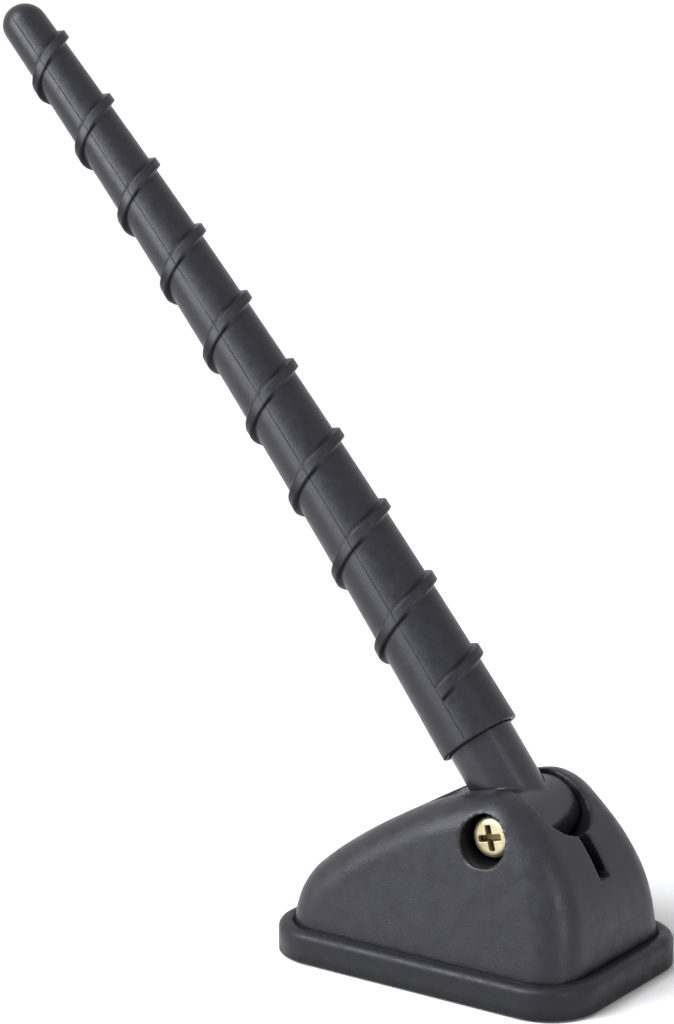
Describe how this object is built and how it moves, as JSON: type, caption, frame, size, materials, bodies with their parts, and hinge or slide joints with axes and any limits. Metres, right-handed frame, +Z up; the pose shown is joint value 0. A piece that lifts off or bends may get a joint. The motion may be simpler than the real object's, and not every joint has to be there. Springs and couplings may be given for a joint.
{
  "type": "car antenna",
  "caption": "Stick-on car antenna: tapered spiral-ribbed rubber mast on a hub that tilts in the split jaws of a low arched base, clamped by a cross-recess screw.",
  "frame": {"origin": "middle of the base underside, on the face that the adhesive pad sticks to", "axes": "+Z up from the car body, +X toward the steep end of the base, mast leaning toward -X, screw head on the -Y side"},
  "size_m": [0.1374, 0.0434, 0.167],
  "materials": {
    "housing_plastic": "fine grained black moulding",
    "gasket_rubber": "soft black rubber",
    "pad_foam": "closed-cell foam tape",
    "hub_plastic": "smooth satin black moulding",
    "mast_rubber": "satin black rubber",
    "zinc_steel": "yellow zinc plate"
  },
  "bodies": {
    "base": {"base_housing": "housing_plastic", "base_gasket": "gasket_rubber", "adhesive_pad": "pad_foam", "clamp_screw": "zinc_steel", "clamp_nut": "zinc_steel"},
    "mast": {"pivot_hub": "hub_plastic", "spiral_mast": "mast_rubber"}
  },
  "joints": [
    {"name": "mast_tilt", "type": "hinge", "parent": "base", "child": "mast", "pos_m": [0.011, 0, 0.0272], "axis": [0, 1, 0], "range_deg": [-27, 91]}
  ]
}
